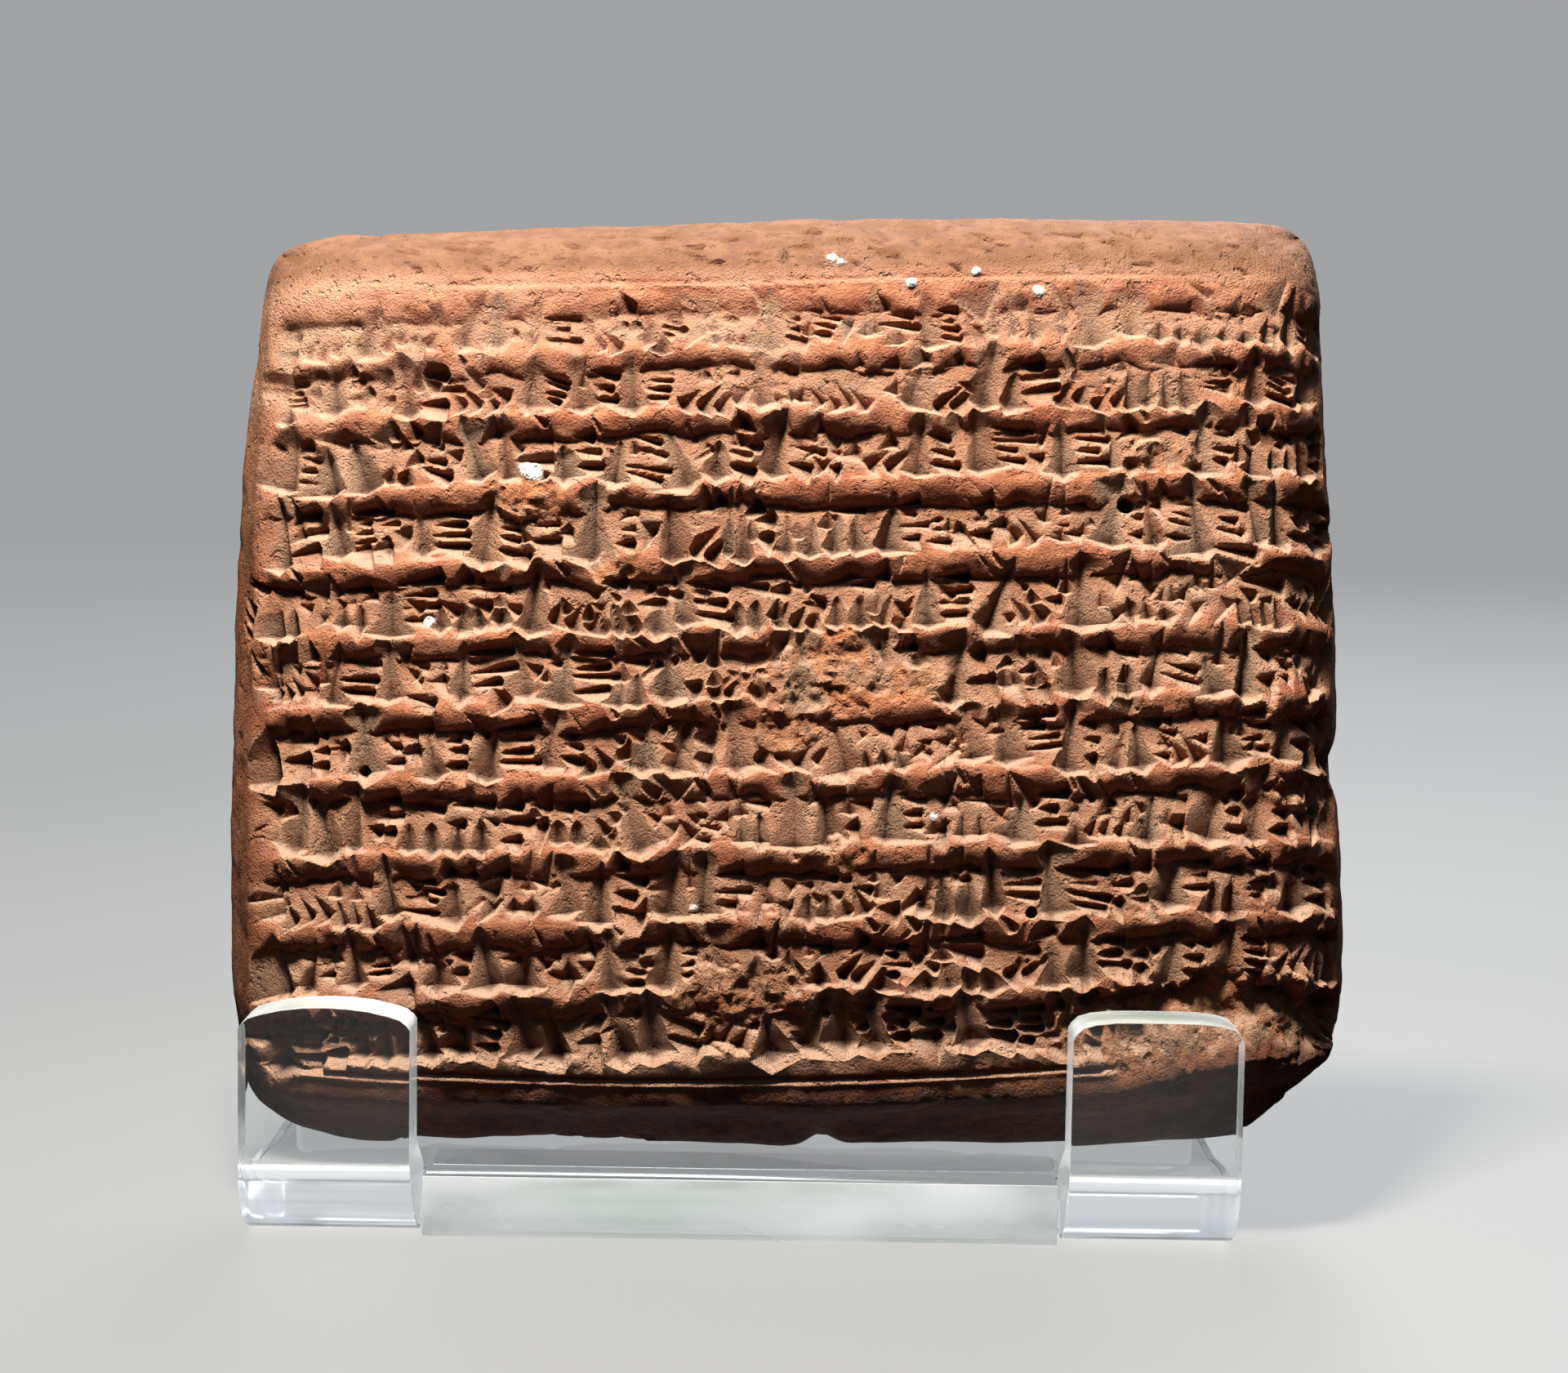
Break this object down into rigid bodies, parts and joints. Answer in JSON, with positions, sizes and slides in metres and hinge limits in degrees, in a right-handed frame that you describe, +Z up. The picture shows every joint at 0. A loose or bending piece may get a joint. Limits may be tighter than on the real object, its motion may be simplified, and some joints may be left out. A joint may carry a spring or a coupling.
{
  "type": "cuneiform tablet on an acrylic cradle",
  "caption": "Landscape clay tablet with rows of wedge-shaped strokes, leaning back in a cradle bent from one clear acrylic sheet.",
  "frame": {"origin": "middle of the whole part's outline seen from above, at the level of the surface that it stands on", "axes": "+Z up, +X to the right of someone facing the writing, along the rows, -Y out of the written face"},
  "size_m": [0.0958, 0.0442, 0.0848],
  "materials": {
    "fired_clay": "unglazed, dull red-brown, dusty in the strokes",
    "clear_acrylic": "clear polished sheet with slightly frosted cut edges"
  },
  "bodies": {
    "root": {"clay_tablet": "fired_clay", "acrylic_stand": "clear_acrylic"}
  },
  "joints": []
}
